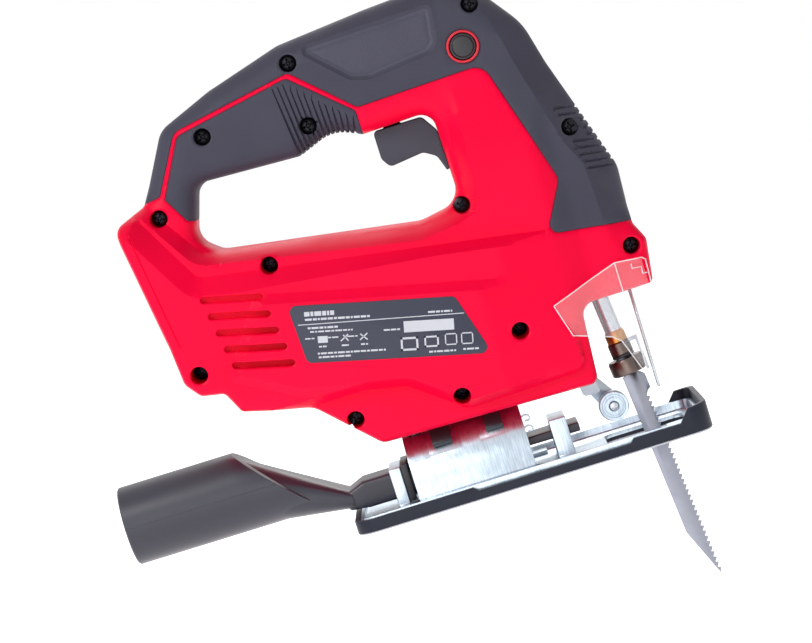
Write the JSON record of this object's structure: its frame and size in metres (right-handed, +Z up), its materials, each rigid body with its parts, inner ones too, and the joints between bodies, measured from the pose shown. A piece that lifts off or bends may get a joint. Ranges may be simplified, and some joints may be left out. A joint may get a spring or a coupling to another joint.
{
  "type": "jigsaw power tool",
  "caption": "Cordless jigsaw with a closed handle, tilting base shoe, reciprocating saw blade, clear chip guard and a plug-in dust tube behind the shoe.",
  "frame": {"origin": "centre of the shoe's underside, on the parting plane of the housing halves", "axes": "+X towards the blade end, +Y towards the tool's left-hand side, +Z up from the sole"},
  "size_m": [0.268, 0.075, 0.2968],
  "materials": {
    "red_shell": "fine moulded grain",
    "soft_grip": "soft moulded grain",
    "black_screw": "black oxide",
    "label": "printed film",
    "red_ring": "gloss",
    "black_plastic": "moulded",
    "trigger_plastic": "moulded",
    "motor_steel": "plated",
    "ferrite": "sintered",
    "bright_steel": "ground",
    "cast_frame": "die cast",
    "bronze": "sintered",
    "copper": "turned",
    "gear_steel": "cut",
    "plunger_steel": "ground",
    "brass_spring": "formed",
    "collar_metal": "gunmetal",
    "blade_steel": "rolled",
    "clear_guard": "clear moulded",
    "shoe_plastic": "moulded",
    "sole_grey": "satin",
    "galvanised": "zinc",
    "tube_plastic": "moulded"
  },
  "bodies": {
    "housing": {"right_housing": "red_shell", "left_housing": "red_shell", "right_upper_grip": "soft_grip", "left_upper_grip": "soft_grip", "right_rear_grip": "soft_grip", "left_rear_grip": "soft_grip", "housing_screws": "black_screw", "rating_label": "label", "button_ring": "red_ring", "switch_body": "black_plastic", "terminal_block": "black_plastic", "motor_can": "motor_steel", "motor_magnets": "ferrite", "motor_end_cap": "black_plastic", "motor_bearings": "bright_steel", "gearbox_frame": "cast_frame", "gear_pin": "bright_steel", "plunger_bushes": "bronze", "pendulum_pin": "bright_steel", "saddle_lugs": "black_plastic", "clamp_strip": "gear_steel", "clamp_bolts": "bright_steel", "chip_guard": "clear_guard", "wire_guard": "bright_steel"},
    "lock": {"lock_button": "black_plastic"},
    "trigger_lever": {"trigger": "trigger_plastic"},
    "selector": {"selector_knob": "black_plastic", "selector_cam": "gear_steel"},
    "armature": {"armature_core": "motor_steel", "motor_shaft": "bright_steel", "commutator": "copper", "motor_fan": "black_plastic", "pinion": "gear_steel"},
    "gear": {"gear_wheel": "gear_steel", "crank_pin": "bright_steel"},
    "plunger": {"plunger_rod": "plunger_steel", "scotch_yoke": "gear_steel", "blade_holder": "plunger_steel", "clamp_spring": "brass_spring", "seal_ring": "black_plastic", "ejector_strip": "gear_steel", "saw_blade": "blade_steel"},
    "collar": {"clamp_collar": "collar_metal"},
    "pendulum": {"pendulum_arm": "gear_steel", "roller_pin": "bright_steel"},
    "roller": {"support_roller": "bright_steel"},
    "base": {"glide_shoe": "shoe_plastic", "sole_strip": "sole_grey", "base_plate": "galvanised", "tunnel_bracket": "galvanised", "rear_clip": "galvanised", "front_clip": "galvanised", "tube_gasket": "black_plastic", "spring_hook": "bright_steel"},
    "hose_adapter": {"dust_tube": "tube_plastic"}
  },
  "joints": [
    {"name": "base_tilt", "type": "hinge", "parent": "housing", "child": "base", "pos_m": [0, 0, 0.014], "axis": [1, 0, 0], "range_deg": [-45, 45]},
    {"name": "tube_slide", "type": "slide", "parent": "base", "child": "hose_adapter", "axis": [-1, 0, 0], "range_m": [0, 0.06]},
    {"name": "plunger_stroke", "type": "slide", "parent": "housing", "child": "plunger", "axis": [-0.0941, 0, 0.9956], "range_m": [-0.002, 0.018]},
    {"name": "collar_twist", "type": "hinge", "parent": "plunger", "child": "collar", "pos_m": [0.05641, 0, 0.03485], "axis": [-0.0941, 0, 0.9956], "range_deg": [0, 60], "stiffness_Nm_per_rad": 0.05},
    {"name": "armature_spin", "type": "hinge", "parent": "housing", "child": "armature", "pos_m": [0.05048, 0, 0.09756], "axis": [0.9956, 0, 0.0941], "continuous": true},
    {"name": "gear_spin", "type": "hinge", "parent": "housing", "child": "gear", "pos_m": [0.04822, 0, 0.12146], "axis": [0.9956, 0, 0.0941], "continuous": true},
    {"name": "pendulum_swing", "type": "hinge", "parent": "housing", "child": "pendulum", "pos_m": [0.033, 0, 0.066], "axis": [0, -1, 0], "range_deg": [0, 2.2]},
    {"name": "roller_spin", "type": "hinge", "parent": "pendulum", "child": "roller", "pos_m": [0.045, 0, 0.0188], "axis": [0, 1, 0], "continuous": true},
    {"name": "selector_turn", "type": "hinge", "parent": "housing", "child": "selector", "pos_m": [0.022, 0.03, 0.056], "axis": [0, 1, 0], "range_deg": [0, 90]},
    {"name": "trigger_pull", "type": "slide", "parent": "housing", "child": "trigger_lever", "axis": [0, 0, 1], "range_m": [0, 0.007], "stiffness_N_per_m": 700, "springref_m": -0.003},
    {"name": "lock_push", "type": "slide", "parent": "housing", "child": "lock", "axis": [0, 1, 0], "range_m": [0, 0.004], "stiffness_N_per_m": 600, "springref_m": -0.002}
  ],
  "couplings": [
    {"joint": "armature_spin", "follows": "gear_spin", "ratio": -5}
  ]
}
